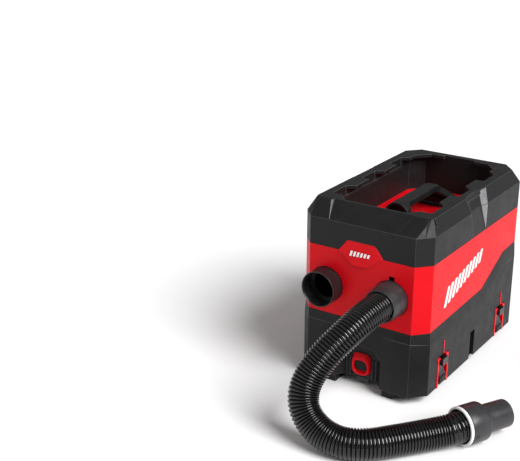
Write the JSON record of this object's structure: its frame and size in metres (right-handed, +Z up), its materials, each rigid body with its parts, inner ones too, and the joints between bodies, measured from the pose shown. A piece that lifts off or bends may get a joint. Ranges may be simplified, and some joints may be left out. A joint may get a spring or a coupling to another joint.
{
  "type": "shop vacuum dust separator box",
  "caption": "Box-shaped dust separator for a shop vacuum: inner dust tank, latched lift-off housing with tool tray and carry handle, two hose ports and a ribbed hose.",
  "frame": {"origin": "centre of the box's footprint on the floor, with the outlet collar counted and the hose left out", "axes": "+Z up, +Y from the port face to the rear (longest side), +X to the right seen from the port face (shortest side)"},
  "size_m": [0.4224, 0.6465, 0.336],
  "materials": {
    "black_plastic": "textured moulded ABS",
    "red_plastic": "satin moulded ABS",
    "black_fitting": "moulded polypropylene",
    "charcoal_plastic": "moulded glass-filled nylon",
    "steel": "zinc-plated steel",
    "seal_rubber": "moulded rubber",
    "cuff_plastic": "satin moulded polypropylene",
    "hose_plastic": "ribbed polyethylene, glossy",
    "white_plastic": "moulded acetal"
  },
  "bodies": {
    "base": {"tank": "black_plastic"},
    "head": {"lower_housing": "black_plastic", "upper_housing": "red_plastic", "top_frame": "black_plastic", "handle": "black_plastic", "handle_screws": "steel", "frame_screws": "steel", "housing_screws": "steel", "badge_panel": "red_plastic", "outlet_socket": "black_fitting", "outlet_seal": "seal_rubber", "inlet_ring": "black_fitting", "inlet_seal": "seal_rubber", "inlet_duct": "black_fitting", "outlet_duct": "black_fitting", "cyclone_barrel": "charcoal_plastic", "cyclone_cone": "charcoal_plastic", "vortex_finder": "black_fitting", "separator_plate": "black_fitting", "plate_gasket": "seal_rubber", "latch_bezel_1": "red_plastic", "latch_bezel_2": "red_plastic", "latch_bezel_3": "red_plastic", "latch_bezel_4": "red_plastic", "latch_pin_1": "steel", "latch_pin_2": "steel", "latch_pin_3": "steel", "latch_pin_4": "steel", "release_spring": "steel", "hose": "hose_plastic"},
    "latch_1": {"latch_lever_1": "charcoal_plastic"},
    "latch_2": {"latch_lever_2": "charcoal_plastic"},
    "latch_3": {"latch_lever_3": "charcoal_plastic"},
    "latch_4": {"latch_lever_4": "charcoal_plastic"},
    "release": {"release_tab": "red_plastic", "release_bolt": "charcoal_plastic"},
    "outlet_collar": {"outlet_collar": "black_fitting"},
    "hose_end": {"hose_end_cuff": "cuff_plastic"},
    "tool_end": {"cuff_ring": "white_plastic", "tool_cuff": "cuff_plastic"}
  },
  "joints": [
    {"name": "head_lift", "type": "slide", "parent": "base", "child": "head", "axis": [0, 0, 1], "range_m": [0, 0.14]},
    {"name": "latch_1_swing", "type": "hinge", "parent": "head", "child": "latch_1", "pos_m": [0.1245, -0.112, 0.061], "axis": [0, -1, 0], "range_deg": [0, 65]},
    {"name": "latch_2_swing", "type": "hinge", "parent": "head", "child": "latch_2", "pos_m": [0.1245, 0.14, 0.061], "axis": [0, -1, 0], "range_deg": [0, 65]},
    {"name": "latch_3_swing", "type": "hinge", "parent": "head", "child": "latch_3", "pos_m": [-0.1245, -0.112, 0.061], "axis": [0, 1, 0], "range_deg": [0, 65]},
    {"name": "latch_4_swing", "type": "hinge", "parent": "head", "child": "latch_4", "pos_m": [-0.1245, 0.14, 0.061], "axis": [0, 1, 0], "range_deg": [0, 65]},
    {"name": "release_slide", "type": "slide", "parent": "head", "child": "release", "axis": [0, 0, 1], "range_m": [0, 0.008], "stiffness_N_per_m": 600, "springref_m": -0.004, "deforming": ["release_spring"]},
    {"name": "outlet_collar_twist", "type": "hinge", "parent": "head", "child": "outlet_collar", "pos_m": [-0.067, -0.2, 0.19], "axis": [0, -1, 0], "range_deg": [0, 45]},
    {"name": "hose_end_twist", "type": "hinge", "parent": "head", "child": "hose_end", "pos_m": [0.06, -0.2, 0.1935], "axis": [0, -1, 0], "range_deg": [0, 30]},
    {"name": "tool_cuff_swivel", "type": "hinge", "parent": "head", "child": "tool_end", "pos_m": [0.2287, -0.2545, 0.0332], "axis": [0.454, 0.891, 0], "continuous": true}
  ]
}
